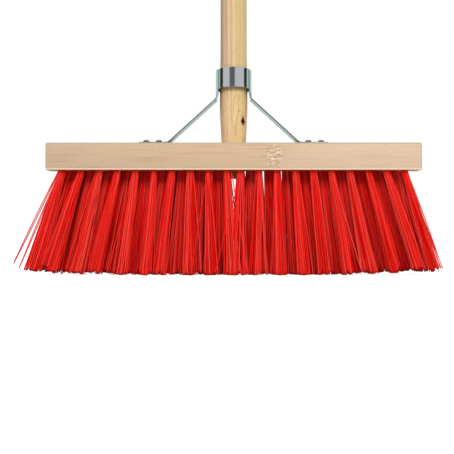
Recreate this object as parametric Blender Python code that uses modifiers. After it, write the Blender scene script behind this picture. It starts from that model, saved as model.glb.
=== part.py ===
"""Street broom: a wooden block with four rows of red bristle tufts, a round wooden handle that passes
through the block at a lean, and a sheet steel stay whose ring holds the handle.

Metres, +Z up. The broom stands on its trimmed bristle tips, the block runs along X, and the handle
leans towards +Y. The origin is on the floor, under the middle of the whole broom's bounding box.
"""

import math
import random

import bmesh
import bpy
from mathutils import Matrix, Vector

# Fits
CLEARANCE = 0.0003
CUT_OVERRUN = 0.004

# Block
BLOCK_LENGTH = 0.400
BLOCK_DEPTH = 0.060
BLOCK_HEIGHT = 0.029
BLOCK_EDGE_ROUND = 0.0024
BLOCK_EDGE_STEPS = 2
# Shares of that rounding on the lower edges, the ends' upright edges and the top edges
EDGE_WEIGHTS = (0.25, 0.5, 1.0)

# Tufts
BRISTLE_LENGTH = 0.112
TRIMMED_LENGTH = 0.0005
OUTER_TUFTS_PER_SIDE = 10
INNER_TUFTS_PER_SIDE = 9
TUFT_END_MARGIN = 0.0185
MIDDLE_TUFT_GAP = 0.0152
OUTER_ROW_OFFSET = 0.0215
INNER_ROW_OFFSET = 0.0075
OUTER_ROW_SPLAY = 0.0175
INNER_ROW_SPLAY = 0.0055
END_TUFT_SPLAY = 0.0290
ROOT_RADIUS = 0.0047
ROOT_DEPTH = 0.014
ROOT_SIDES = 8
SLICE_HEIGHT = 0.004

# Strands of a tuft
STRAND_WIDTH = 0.0020
STRAND_PITCH = 0.0025
STRAND_SINK = 0.001
TIP_REACH_ALONG = 0.0078
TIP_REACH_ACROSS = 0.0075
TIP_STRAY = 0.0016
STRAND_SEED = 7
# Places of the strands along and across the row: at the root in pitches, at the tip in reaches
ROOT_SHARES = ((-1, -0.5), (0, -0.5), (1, -0.5), (-1, 0.5), (0, 0.5), (1, 0.5))
TIP_SHARES = ((-1, -1), (-0.25, -1), (0.55, -1), (-0.55, 1), (0.25, 1), (1, 1))

# Handle
HANDLE_LEAN = math.radians(9)
HANDLE_LENGTH = 1.400
HANDLE_RADIUS = 0.0142
HANDLE_SWELL_RADIUS = 0.0149
HANDLE_NECK_RADIUS = 0.0131
HANDLE_TIP_RADIUS = 0.0109
HANDLE_TIP_PROUD = 0.0075
HANDLE_TIP_CHAMFER = 0.0010
HANDLE_CROWN = 0.007
NECK_RISE = 0.035
SWELL_RISE = 0.060
SWELL_FADE_RISE = 0.100
HANDLE_SIDES = 32
CROWN_STEPS = 5

# Stay
RING_BORE_RADIUS = 0.0170
RING_THICKNESS = 0.0015
RING_HEIGHT = 0.022
RING_RISE = 0.0695
RING_SIDES = 48
ARM_WIDTH = 0.018
ARM_THICKNESS = 0.0013
ARM_SINK = 0.0003
ARM_TOP_DROP = 0.0008
KNEE_RISE = 0.0480
ANKLE_REACH = 0.0695
TOE_REACH = 0.102
TOE_ROUND = 0.004
BEND_REACH = 0.0035
BEND_STEPS = 4
KNEE_CURL = 0.45
KNEE_LEAN_SHARE = 0.2
CURL_SHARES = (-1, -0.5, 0, 0.5, 1)

# Screws
FOOT_SCREW_REACHES = (0.0805, 0.0941)
SCREW_LENGTH = 0.016
SCREW_POINT = 0.003
SHANK_RADIUS = 0.0018
HEAD_RADIUS = 0.0034
HEAD_HEIGHT = 0.0023
RECESS_LENGTH = 0.0036
RECESS_WIDTH = 0.0008
RECESS_DEPTH = 0.0011
SCREW_SIDES = 16
# Outline of the domed head, as shares of its radius and its height
HEAD_SHARES = ((0, 1), (0.45, 0.95), (0.8, 0.72), (1, 0.3), (1, 0))

# Merging distance for turned shapes
WELD = 0.00001
SHARP_ANGLE = math.radians(35)

# Heights above the floor, and places along the handle's axis, which crosses the block's middle
UNDERSIDE = BRISTLE_LENGTH
FILAMENT_LENGTH = BRISTLE_LENGTH + TRIMMED_LENGTH
BLOCK_MIDDLE = UNDERSIDE + BLOCK_HEIGHT / 2
TOP_ALONG = BLOCK_HEIGHT / 2 / math.cos(HANDLE_LEAN)
TIP_ALONG = -TOP_ALONG - HANDLE_TIP_PROUD
RING_ALONG = TOP_ALONG + RING_RISE

TUFT_PITCH = ((BLOCK_LENGTH - MIDDLE_TUFT_GAP) / 2 - TUFT_END_MARGIN) / (OUTER_TUFTS_PER_SIDE - 1)

# The screw at the ring's back draws the ring's back wall against the handle.
RING_ACROSS = HANDLE_SWELL_RADIUS + CLEARANCE - RING_BORE_RADIUS
RING_OUTER_RADIUS = RING_BORE_RADIUS + RING_THICKNESS
ARM_REACH = RING_OUTER_RADIUS - ARM_SINK + ARM_THICKNESS / 2
FOOT_RISE = BLOCK_HEIGHT / 2 + CLEARANCE + ARM_THICKNESS / 2

# Reach of the broom to the front and to the back of the block's middle
FRONT_REACH = OUTER_ROW_OFFSET + OUTER_ROW_SPLAY + TIP_REACH_ACROSS + TIP_STRAY + STRAND_WIDTH / 2
RIM_ALONG = TIP_ALONG + HANDLE_LENGTH - HANDLE_CROWN
BACK_REACH = RIM_ALONG * math.sin(HANDLE_LEAN) + HANDLE_RADIUS * math.cos(HANDLE_LEAN)


def new_collection(name):
    made = bpy.data.collections.new(name)
    bpy.context.scene.collection.children.link(made)
    return made


def new_material(name, colour, roughness, metallic=0.0):
    made = bpy.data.materials.new(name)
    made.use_nodes = True
    shader = made.node_tree.nodes["Principled BSDF"]
    shader.inputs["Base Color"].default_value = (*colour, 1)
    shader.inputs["Roughness"].default_value = roughness
    shader.inputs["Metallic"].default_value = metallic
    return made


def add_object(name, mesh, parent, collection):
    made = bpy.data.objects.new(name, mesh)
    made.parent = parent
    collection.objects.link(made)
    return made


def add_piece(name, mesh, material, parent):
    """One sub-part of the broom."""
    if not mesh.materials:
        mesh.materials.append(material)
    return add_object(name, mesh, parent, broom)


def add_cutter(name, mesh, parent):
    """A shape that only cuts or joins pieces."""
    cutter = add_object(name, mesh, parent, cutters)
    cutter.hide_render = True
    cutter.display_type = "WIRE"
    return cutter


def mesh_from(bm, name):
    mesh = bpy.data.meshes.new(name)
    bm.to_mesh(mesh)
    bm.free()
    return mesh


def profile_mesh(name, points, closed=False):
    """Edges through (radius, height) points, for turning."""
    mesh = bpy.data.meshes.new(name)
    places = [(radius, 0, height) for radius, height in points]
    edges = [(k, k + 1) for k in range(len(places) - 1)]
    if closed:
        edges.append((len(places) - 1, 0))
    mesh.from_pydata(places, edges, [])
    return mesh


def turn(piece, sides):
    """Spins a piece's profile about its own Z."""
    screw = piece.modifiers.new("turn", "SCREW")
    screw.steps = sides
    screw.render_steps = sides
    screw.use_merge_vertices = True
    screw.merge_threshold = WELD


def combine(piece, other, operation):
    boolean = piece.modifiers.new(other.name, "BOOLEAN")
    boolean.operation = operation
    boolean.object = other


def applied_mesh(piece):
    """A piece's mesh with its modifiers applied, smooth but for its sharp edges."""
    shapes = bpy.context.evaluated_depsgraph_get()
    mesh = bpy.data.meshes.new_from_object(piece.evaluated_get(shapes))
    mesh.shade_smooth()
    mesh.set_sharp_from_angle(angle=SHARP_ANGLE)
    return mesh


def apply_smooth(piece):
    mesh = applied_mesh(piece)
    piece.modifiers.clear()
    piece.data = mesh


def add_box(bm, centre, size):
    placed = Matrix.Translation(centre) @ Matrix.Diagonal((*size, 1))
    bmesh.ops.create_cube(bm, size=1, matrix=placed)


def slanted(bottom, top, width):
    """Places a unit shape between two points, with its ends level and of the given width."""
    middle = (bottom + top) / 2
    rise = top - bottom
    return Matrix((
        (width, 0, rise.x, middle.x),
        (0, width, rise.y, middle.y),
        (0, 0, rise.z, middle.z),
        (0, 0, 0, 1),
    ))


def add_rod(bm, radius, sides, placed):
    """A cylinder of unit length and the given radius, placed by a matrix."""
    bmesh.ops.create_cone(
        bm, cap_ends=True, segments=sides, radius1=radius, radius2=radius, depth=1, matrix=placed
    )


def on_handle(x, across, along):
    """A place given by the handle's axis, as seen from the block's middle."""
    return Matrix.Rotation(-HANDLE_LEAN, 3, "X") @ Vector((x, across, along))


# Tufts


def columns(first, count):
    """X of each tuft of a row, from left to right. The row's middle is left to the handle."""
    right = [first + TUFT_PITCH * k for k in range(count)]
    return [-x for x in reversed(right)] + right


OUTER_COLUMNS = columns(MIDDLE_TUFT_GAP / 2, OUTER_TUFTS_PER_SIDE)
INNER_COLUMNS = columns((MIDDLE_TUFT_GAP + TUFT_PITCH) / 2, INNER_TUFTS_PER_SIDE)


def row_axis(x, offset, splay):
    """Where a tuft's middle meets the underside, and where it ends. Tufts splay towards the edges.
    Their filaments have one length, so those that lean far along the row end above the floor."""
    root = Vector((x, offset, UNDERSIDE))
    lean = x / OUTER_COLUMNS[-1] * END_TUFT_SPLAY
    drop = min(UNDERSIDE, math.sqrt(FILAMENT_LENGTH**2 - lean**2))
    return root, root + Vector((lean, math.copysign(splay, offset), -drop))


def along_axis(root, tip, height):
    """The place of a slanted line at a height, where it passes the underside at root."""
    return tip.lerp(root, (height - tip.z) / (root.z - tip.z))


def add_root(bm, root, tip, extra, overrun):
    """A tuft's folded root, or with extra and overrun the hole drilled for it."""
    bottom = along_axis(root, tip, UNDERSIDE - overrun)
    top = along_axis(root, tip, UNDERSIDE + ROOT_DEPTH + extra)
    add_rod(bm, 1, ROOT_SIDES, slanted(bottom, top, ROOT_RADIUS + extra))


def add_strands(bm, root, tip, chance):
    """A tuft's strands fan out from its root and end level. They keep their order, along and
    across the row, from root to tip, so none crosses another."""
    for root_share, tip_share in zip(ROOT_SHARES, TIP_SHARES):
        start = root + Vector((*root_share, 0)) * STRAND_PITCH
        reach = Vector((TIP_REACH_ALONG * tip_share[0], TIP_REACH_ACROSS * tip_share[1], 0))
        stray = Vector((chance.uniform(-1, 1), chance.uniform(-1, 1), 0)) * TIP_STRAY
        end = tip + reach + stray
        top = along_axis(start, end, UNDERSIDE + STRAND_SINK)
        bmesh.ops.create_cube(bm, size=1, matrix=slanted(end, top, STRAND_WIDTH))


def add_bristles(name, backing, axes, chance):
    """Strands for the tufts on the given axes, fused to their backing."""
    piece = add_piece(name, mesh_from(backing, name), bristle_red, root_empty)
    bm = bmesh.new()
    for root, tip in axes:
        add_strands(bm, root, tip, chance)
    strands = f"{name}_strands"
    combine(piece, add_cutter(strands, mesh_from(bm, strands), root_empty), "UNION")


def outer_rows():
    """The name and the tuft axes of the front and the back row."""
    for name, side in (("front", -1), ("back", 1)):
        offset = side * OUTER_ROW_OFFSET
        yield name, [row_axis(x, offset, OUTER_ROW_SPLAY) for x in OUTER_COLUMNS]


def inner_rows():
    """The name and the tuft axes of each half of the two inner rows."""
    for row, side in (("front", -1), ("back", 1)):
        for half, hand in (("left", -1), ("right", 1)):
            offset = side * INNER_ROW_OFFSET
            places = [x for x in INNER_COLUMNS if x * hand > 0]
            yield f"{row}_{half}", [row_axis(x, offset, INNER_ROW_SPLAY) for x in places]


def add_slice(bm, axes, extra, overrun):
    """The slice of backing under half an inner row, or with extra and overrun its channel."""
    first, last = axes[0][0], axes[-1][0]
    size = Vector((
        last.x - first.x + 2 * (ROOT_RADIUS + extra),
        2 * (ROOT_RADIUS + extra),
        SLICE_HEIGHT + extra + overrun,
    ))
    middle = (first + last) / 2
    middle.z += (SLICE_HEIGHT + extra - overrun) / 2
    add_box(bm, middle, size)


def add_tufts():
    """Each tuft of the outer rows is a piece. Those of the inner rows share slices of backing."""
    chance = random.Random(STRAND_SEED)
    for row, axes in outer_rows():
        for number, (root, tip) in enumerate(axes, start=1):
            backing = bmesh.new()
            add_root(backing, root, tip, 0, 0)
            add_bristles(f"tuft_{row}_{number:02d}", backing, [(root, tip)], chance)
    for half_row, axes in inner_rows():
        backing = bmesh.new()
        add_slice(backing, axes, 0, 0)
        add_bristles(f"tufts_inner_{half_row}", backing, axes, chance)


# Handle


def handle_end(extra):
    """(Radius, place along the axis) down the handle's tapered end, or with extra its hole."""
    return [
        (HANDLE_SWELL_RADIUS + extra, TOP_ALONG + NECK_RISE),
        (HANDLE_NECK_RADIUS + extra, TOP_ALONG),
        (HANDLE_TIP_RADIUS + extra, TIP_ALONG + HANDLE_TIP_CHAMFER),
        (HANDLE_TIP_RADIUS - HANDLE_TIP_CHAMFER + extra, TIP_ALONG),
        (0, TIP_ALONG),
    ]


def handle_crown():
    """(Radius, place along the axis) down the rounded upper end of the handle."""
    angles = [math.pi / 2 * step / CROWN_STEPS for step in range(CROWN_STEPS + 1)]
    return [
        (HANDLE_RADIUS * math.sin(angle), RIM_ALONG + HANDLE_CROWN * math.cos(angle))
        for angle in angles
    ]


def add_handle():
    shaft = [
        (HANDLE_RADIUS, TOP_ALONG + SWELL_FADE_RISE),
        (HANDLE_SWELL_RADIUS, TOP_ALONG + SWELL_RISE),
    ]
    profile = profile_mesh("handle", handle_crown() + shaft + handle_end(0))
    handle = add_piece("handle", profile, pine, lean_empty)
    turn(handle, HANDLE_SIDES)
    combine(handle, ring_screw_hole, "DIFFERENCE")
    apply_smooth(handle)


def handle_hole_cutter():
    """The tapered hole through the block, which the handle is driven into."""
    profile = [(0, TOP_ALONG + NECK_RISE)] + handle_end(CLEARANCE)
    cutter = add_cutter("handle_hole", profile_mesh("handle_hole", profile), lean_empty)
    turn(cutter, HANDLE_SIDES)
    return cutter


# Screws


def screw_profile():
    """(Radius, height) down a screw, from its domed head to its point."""
    head = [(HEAD_RADIUS * out, HEAD_HEIGHT * up) for out, up in HEAD_SHARES]
    shank = [
        (SHANK_RADIUS, 0),
        (SHANK_RADIUS, SCREW_POINT - SCREW_LENGTH),
        (0, -SCREW_LENGTH),
    ]
    return head + shank


def screw_mesh():
    """The pan head screw that all five places share, with a cross recess in its head."""
    screw = add_object("screw", profile_mesh("screw", screw_profile()), None, broom)
    turn(screw, SCREW_SIDES)
    slots = []
    for size in ((RECESS_LENGTH, RECESS_WIDTH), (RECESS_WIDTH, RECESS_LENGTH)):
        bm = bmesh.new()
        add_box(bm, Vector((0, 0, HEAD_HEIGHT)), (*size, 2 * RECESS_DEPTH))
        slots.append(add_cutter("recess", mesh_from(bm, "recess"), None))
        combine(screw, slots[-1], "DIFFERENCE")
    mesh = applied_mesh(screw)
    for used in [screw] + slots:
        bpy.data.objects.remove(used)
    return mesh


def foot_screw_seats():
    """The name of each foot screw, and its place under its head, from the block's middle."""
    rise = FOOT_RISE + ARM_THICKNESS / 2 + CLEARANCE
    for half, hand in (("left", -1), ("right", 1)):
        for name, reach in zip(("inner", "outer"), FOOT_SCREW_REACHES):
            yield f"screw_{half}_{name}", Vector((hand * reach, 0, rise))


def ring_screw_seat():
    """The place under the ring screw's head, on the handle's axes."""
    return Vector((0, RING_ACROSS + RING_OUTER_RADIUS + CLEARANCE, RING_ALONG))


def add_screws():
    mesh = screw_mesh()
    for name, seat in foot_screw_seats():
        screw = add_piece(name, mesh, zinc, middle_empty)
        screw.location = seat
    screw = add_piece("screw_ring", mesh, zinc, lean_empty)
    screw.location = ring_screw_seat()
    screw.rotation_euler.x = -math.pi / 2


def add_screw_hole(bm, turned, seat):
    """The hole for one screw's shank, along the local Z of a turned frame at its seat."""
    length = SCREW_LENGTH + CLEARANCE + CUT_OVERRUN
    down_hole = Matrix.Translation((0, 0, CUT_OVERRUN - length / 2)) @ Matrix.Diagonal((1, 1, length, 1))
    placed = Matrix.Translation(seat) @ turned @ down_hole
    add_rod(bm, SHANK_RADIUS + CLEARANCE, SCREW_SIDES, placed)


def foot_screw_holes_cutter():
    bm = bmesh.new()
    for _, seat in foot_screw_seats():
        add_screw_hole(bm, Matrix.Identity(4), seat)
    return add_cutter("foot_screw_holes", mesh_from(bm, "foot_screw_holes"), middle_empty)


def ring_screw_hole_cutter():
    bm = bmesh.new()
    add_screw_hole(bm, Matrix.Rotation(-math.pi / 2, 4, "X"), ring_screw_seat())
    return add_cutter("ring_screw_hole", mesh_from(bm, "ring_screw_hole"), lean_empty)


# Stay


def rounded_corner(before, corner, after):
    """Places round a bend between two straight stretches."""
    start = corner + (before - corner).normalized() * BEND_REACH
    end = corner + (after - corner).normalized() * BEND_REACH
    shares = [step / BEND_STEPS for step in range(BEND_STEPS + 1)]
    return [start.lerp(corner, t).lerp(corner.lerp(end, t), t) for t in shares]


def arm_stations(hand):
    """(Middle, direction across, curl) of the strip, from beside the ring down to its toe. The
    arm is square to the handle at the ring and flat on the block at its foot, and the ankle takes
    up most of the lean. It curls round the ring, and is flat from the knee down."""
    level = Vector((0, 1, 0))
    square = on_handle(0, 1, 0)
    top = on_handle(hand * ARM_REACH, RING_ACROSS, RING_ALONG + RING_HEIGHT / 2 - ARM_TOP_DROP)
    rim = on_handle(hand * ARM_REACH, RING_ACROSS, RING_ALONG - RING_HEIGHT / 2)
    knee = on_handle(hand * ARM_REACH, RING_ACROSS, TOP_ALONG + KNEE_RISE)
    ankle = Vector((hand * ANKLE_REACH, 0, FOOT_RISE))
    toe = Vector((hand * TOE_REACH, 0, FOOT_RISE))
    knee_fold = rounded_corner(top, knee, ankle)
    ankle_fold = rounded_corner(knee, ankle, toe)
    shares = [step / BEND_STEPS for step in range(BEND_STEPS + 1)]
    stations = [(top, square, 1), (rim, square, 1)]
    for place, t in zip(knee_fold, shares):
        stations.append((place, square.lerp(level, KNEE_LEAN_SHARE * t), KNEE_CURL * (1 - t)))
    for place, t in zip(ankle_fold, shares):
        stations.append((place, square.lerp(level, KNEE_LEAN_SHARE + (1 - KNEE_LEAN_SHARE) * t), 0))
    return stations + [(toe, level, 0)]


def arm_section(hand, middle, across, curl):
    """Points across the strip. A curl of 1 follows the ring, and one of 0 is flat."""
    inward = on_handle(-hand, 0, 0)
    points = []
    for share in CURL_SHARES:
        turn = share * ARM_WIDTH / 2 / ARM_REACH
        flat = across * ARM_REACH * turn
        curled = across * ARM_REACH * math.sin(turn) + inward * ARM_REACH * (1 - math.cos(turn))
        points.append(middle + flat.lerp(curled, curl))
    return points


def add_arm(bm, hand):
    """The middle surface of one arm, lofted through its stations, with a rounded toe."""
    rows = []
    for middle, across, curl in arm_stations(hand):
        section = arm_section(hand, middle, across.normalized(), curl)
        rows.append([bm.verts.new(point) for point in section])
    for row, next_row in zip(rows, rows[1:]):
        for k in range(len(row) - 1):
            bm.faces.new((row[k], row[k + 1], next_row[k + 1], next_row[k]))
    bmesh.ops.bevel(
        bm, geom=[rows[-1][0], rows[-1][-1]], offset=TOE_ROUND, segments=BEND_STEPS, profile=0.5,
        affect="VERTICES",
    )


def ring_band_cutter():
    half = RING_HEIGHT / 2
    profile = [
        (RING_OUTER_RADIUS, half),
        (RING_OUTER_RADIUS, -half),
        (RING_BORE_RADIUS, -half),
        (RING_BORE_RADIUS, half),
    ]
    band = add_cutter("ring_band", profile_mesh("ring_band", profile, closed=True), lean_empty)
    band.location = (0, RING_ACROSS, RING_ALONG)
    turn(band, RING_SIDES)
    return band


def add_stay():
    bm = bmesh.new()
    for hand in (-1, 1):
        add_arm(bm, hand)
    bmesh.ops.recalc_face_normals(bm, faces=bm.faces)
    stay = add_piece("stay", mesh_from(bm, "stay"), zinc, middle_empty)
    sheet = stay.modifiers.new("sheet", "SOLIDIFY")
    sheet.thickness = ARM_THICKNESS
    sheet.offset = 0
    sheet.use_even_offset = True
    combine(stay, ring_band_cutter(), "UNION")
    combine(stay, foot_screw_holes, "DIFFERENCE")
    combine(stay, ring_screw_hole, "DIFFERENCE")
    apply_smooth(stay)


# Block


def tuft_holes_cutter():
    """The blind hole of each outer tuft, and the channels of the inner rows' backing."""
    bm = bmesh.new()
    for _, axes in outer_rows():
        for root, tip in axes:
            add_root(bm, root, tip, CLEARANCE, CUT_OVERRUN)
    for _, axes in inner_rows():
        add_slice(bm, axes, CLEARANCE, CUT_OVERRUN)
    return add_cutter("tuft_holes", mesh_from(bm, "tuft_holes"), root_empty)


def add_block():
    bm = bmesh.new()
    add_box(bm, Vector(), (BLOCK_LENGTH, BLOCK_DEPTH, BLOCK_HEIGHT))
    weights = bm.edges.layers.float.new("bevel_weight_edge")
    for edge in bm.edges:
        tops = sum(vert.co.z > 0 for vert in edge.verts)
        edge[weights] = EDGE_WEIGHTS[tops]
    block = add_piece("block", mesh_from(bm, "block"), beech, middle_empty)
    edges = block.modifiers.new("broken_edges", "BEVEL")
    edges.limit_method = "WEIGHT"
    edges.width = BLOCK_EDGE_ROUND
    edges.segments = BLOCK_EDGE_STEPS
    combine(block, handle_hole_cutter(), "DIFFERENCE")
    combine(block, tuft_holes_cutter(), "DIFFERENCE")
    combine(block, foot_screw_holes, "DIFFERENCE")


for old in list(bpy.data.objects):
    bpy.data.objects.remove(old)

broom = new_collection("street_broom")
cutters = new_collection("cutters")

beech = new_material("beech", (0.79, 0.60, 0.43), 0.6)
pine = new_material("pine", (0.80, 0.60, 0.36), 0.45)
zinc = new_material("zinc", (0.60, 0.64, 0.66), 0.3, metallic=1.0)
bristle_red = new_material("bristle_red", (0.78, 0.02, 0.015), 0.35)

# The broom on the floor, the middle of its block, and its handle's axis
root_empty = add_object("broom_on_floor", None, None, broom)
root_empty.location.y = (FRONT_REACH - BACK_REACH) / 2
middle_empty = add_object("block_middle", None, root_empty, broom)
middle_empty.location.z = BLOCK_MIDDLE
lean_empty = add_object("handle_axis", None, middle_empty, broom)
lean_empty.rotation_euler.x = -HANDLE_LEAN

foot_screw_holes = foot_screw_holes_cutter()
ring_screw_hole = ring_screw_hole_cutter()

add_block()
add_tufts()
add_handle()
add_stay()
add_screws()
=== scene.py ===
# %% [markdown]
# # A street broom, dressed for its picture
#
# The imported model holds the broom's pieces at their real size. This lesson keeps every piece
# where it is and gives it the surface that the real one has: sawn and planed beech, turned pine,
# zinc-plated sheet steel, and thousands of stiff red filaments.

import math
import random

import bmesh
import bpy
from mathutils import Matrix, Vector


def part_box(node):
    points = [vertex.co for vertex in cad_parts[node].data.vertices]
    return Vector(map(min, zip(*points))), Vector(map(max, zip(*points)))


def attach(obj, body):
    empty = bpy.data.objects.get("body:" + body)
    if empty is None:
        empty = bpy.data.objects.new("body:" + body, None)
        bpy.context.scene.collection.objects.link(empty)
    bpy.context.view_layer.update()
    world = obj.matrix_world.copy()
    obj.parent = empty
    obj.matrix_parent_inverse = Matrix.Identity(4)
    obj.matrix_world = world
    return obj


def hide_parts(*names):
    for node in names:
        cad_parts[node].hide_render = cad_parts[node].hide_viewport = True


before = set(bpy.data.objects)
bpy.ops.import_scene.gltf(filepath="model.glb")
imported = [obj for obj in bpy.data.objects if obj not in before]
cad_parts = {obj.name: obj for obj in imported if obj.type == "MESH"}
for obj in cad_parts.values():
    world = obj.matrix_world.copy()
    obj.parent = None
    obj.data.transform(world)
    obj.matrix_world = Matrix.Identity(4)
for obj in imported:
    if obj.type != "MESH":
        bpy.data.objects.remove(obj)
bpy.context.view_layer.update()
block_low, block_high = (Vector(corner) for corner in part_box("block"))
block_middle = (block_low + block_high) / 2
block_size = block_high - block_low
print("block, mm:", [round(side * 1000, 1) for side in block_size])

# %% [markdown]
# ## The camera
#
# The photograph looks straight along the floor at the block's front face, from far enough away
# that the block's two ends look square. Its scale comes from the block, which is the one piece
# with a known length, so the camera is placed by the block's pixels.

# %% Place the camera
PHOTO_PIXELS = 454
BLOCK_PIXELS = 376.9
BLOCK_MIDDLE_PIXEL = 233.8
BLOCK_TOP_PIXEL = 142.4
CAMERA_DISTANCE = 2.0
SENSOR_WIDTH = 36.0

metres_per_pixel = block_size.x / BLOCK_PIXELS
camera_data = bpy.data.cameras.new("camera")
camera_data.sensor_width = SENSOR_WIDTH
camera_data.lens = SENSOR_WIDTH * CAMERA_DISTANCE / (PHOTO_PIXELS * metres_per_pixel)
camera = bpy.data.objects.new("camera", camera_data)
bpy.context.scene.collection.objects.link(camera)
camera.location = (
    block_middle.x - (BLOCK_MIDDLE_PIXEL - PHOTO_PIXELS / 2) * metres_per_pixel,
    block_low.y - CAMERA_DISTANCE,
    block_high.z - (PHOTO_PIXELS / 2 - BLOCK_TOP_PIXEL) * metres_per_pixel,
)
camera.rotation_euler = (math.pi / 2, 0, 0)
bpy.context.scene.camera = camera
bpy.context.scene.view_settings.view_transform = "Standard"
print("camera:", [round(place, 3) for place in camera.location])
print("lens, mm:", round(camera_data.lens, 1))


# %% [markdown]
# ## Colours and nodes
#
# Colours are written as the hex values that a picture editor shows. Shaders need linear light, so
# one function converts them. Another adds a node with its settings and links in one call, which
# keeps a material's code as short as its picture in the node editor.

# %% Helpers for colours and nodes
WHITE = (1, 1, 1, 1)
BLACK = (0, 0, 0, 1)
UP = Vector((0, 0, 1))
BACK = Vector((0, 1, 0))


def linear(hex_colour):
    """The linear RGBA of an sRGB hex colour."""
    channels = [int(hex_colour[place:place + 2], 16) / 255 for place in (1, 3, 5)]
    light = [c / 12.92 if c <= 0.04045 else ((c + 0.055) / 1.055) ** 2.4 for c in channels]
    return (*light, 1.0)


def add_node(tree, kind, inputs=None, **settings):
    """Adds a node. An input is a value, or the output socket that feeds it."""
    node = tree.nodes.new(kind)
    for name, value in settings.items():
        setattr(node, name, value)
    for key, value in (inputs or {}).items():
        if isinstance(value, bpy.types.NodeSocket):
            tree.links.new(value, node.inputs[key])
        else:
            node.inputs[key].default_value = value
    return node


def set_stops(node, stops):
    """Gives a color ramp its (position, colour) stops."""
    ramp = node.color_ramp
    while len(ramp.elements) < len(stops):
        ramp.elements.new(1.0)
    for element, (position, colour) in zip(ramp.elements, stops):
        element.position = position
        element.color = linear(colour)


def new_material(name):
    """A material with only its output and one principled shader."""
    material = bpy.data.materials.new(name)
    material.use_nodes = True
    return material, material.node_tree, material.node_tree.nodes["Principled BSDF"]


# %% [markdown]
# ## The studio
#
# A white studio is mostly soft light: the world fills in from all round, a broad lamp stands by
# the camera, a second one hangs over the broom, and a third lights its back. The camera and the
# bright zinc's reflections see the world at a strength of 1, which is plain white.

# %% Light the studio
WORLD_LEVEL = 0.44
# Each lamp's place, the height on the broom that it faces, its size in metres and its watts
LAMPS = (
    ("front_softbox", (0.15, -2.1, 1.9), 0.12, (1.4, 1.0), 58),
    ("top_softbox", (-0.2, -0.4, 2.6), 0.1, (1.4, 1.4), 10),
    ("back_softbox", (-0.5, 2.3, 1.6), 0.3, (1.4, 1.0), 26),
)


def seen_by(tree, camera, mirrored):
    """A strength for camera rays, another for mirrored ones, and 0 for rays that light things."""
    ray = add_node(tree, "ShaderNodeLightPath").outputs
    seen = add_node(tree, "ShaderNodeMath", {
        0: ray["Is Camera Ray"], 1: camera,
    }, operation="MULTIPLY").outputs[0]
    for other in ("Is Glossy Ray", "Is Transmission Ray"):
        share = add_node(tree, "ShaderNodeMath", {
            0: ray[other], 1: mirrored,
        }, operation="MULTIPLY").outputs[0]
        seen = add_node(tree, "ShaderNodeMath", {0: seen, 1: share}, operation="MAXIMUM").outputs[0]
    return seen


def add_studio_world():
    world = bpy.data.worlds.new("white_studio")
    bpy.context.scene.world = world
    world.use_nodes = True
    tree = world.node_tree
    tree.nodes.clear()
    strength = add_node(tree, "ShaderNodeMix", {
        "Factor": seen_by(tree, 1, 1), "A": WORLD_LEVEL, "B": 1.0,
    })
    background = add_node(tree, "ShaderNodeBackground", {
        "Color": WHITE, "Strength": strength.outputs["Result"],
    })
    add_node(tree, "ShaderNodeOutputWorld", {"Surface": background.outputs[0]})


def add_lamp(name, place, target_height, size, watts):
    data = bpy.data.lights.new(name, "AREA")
    data.shape = "RECTANGLE"
    data.size, data.size_y = size
    data.energy = watts
    lamp = bpy.data.objects.new(name, data)
    bpy.context.scene.collection.objects.link(lamp)
    lamp.location = place
    facing = Vector((0, block_middle.y, target_height)) - Vector(place)
    lamp.rotation_euler = facing.to_track_quat("-Z", "Y").to_euler()
    lamp.visible_glossy = False


add_studio_world()
for lamp in LAMPS:
    add_lamp(*lamp)
print("lamps:", len(LAMPS))

# %% [markdown]
# The floor is matt white card. A little light of its own, seen only by the camera and in
# reflections, lifts it to the white of the background, and the broom's shadow still falls on it.
# Mirrors see it close to the lamps, where it is nearly white already, so there it needs less.

# %% Lay the floor
FLOOR_REACH = 12.0
FLOOR_WHITE = "#BEBEBE"
FLOOR_LIFT = 0.85
MIRRORED_LIFT = 0.12


def add_flat(name, material, corners):
    """A flat four-sided piece of the studio, which isn't part of the broom."""
    mesh = bpy.data.meshes.new(name)
    mesh.from_pydata([tuple(corner) for corner in corners], [], [(0, 1, 2, 3)])
    mesh.materials.append(material)
    flat = bpy.data.objects.new(name, mesh)
    bpy.context.scene.collection.objects.link(flat)
    return flat


def white_card():
    material, tree, shader = new_material("matt_white_card")
    shader.inputs["Base Color"].default_value = linear(FLOOR_WHITE)
    shader.inputs["Roughness"].default_value = 0.9
    shader.inputs["Specular IOR Level"].default_value = 0.0
    shader.inputs["Emission Color"].default_value = WHITE
    tree.links.new(seen_by(tree, FLOOR_LIFT, MIRRORED_LIFT), shader.inputs["Emission Strength"])
    return material


add_flat("floor", white_card(), [
    (x * FLOOR_REACH, y * FLOOR_REACH, 0) for x, y in ((-1, -1), (1, -1), (1, 1), (-1, 1))
])

# %% [markdown]
# Chrome and zinc mirror whatever is round them, and in an all-white studio they would look like
# white plastic. Photographers stand black cards beside them, whose reflections draw the dark
# bands that say metal. These three stand where the ring's bands ask for them: one at each side,
# and a grey one in front, for the camera and its tripod. Only mirrored rays see them.

# %% Stand the cards
CARD_DISTANCE = 1.6
CARD_HEIGHT = 2.4
# Bearing of each card from straight ahead and half its width, in degrees, and its brightness
CARDS = (("left_card", -90, 14, 0.05), ("front_card", -10, 18, 0.22), ("right_card", 86, 13, 0.05))


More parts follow.
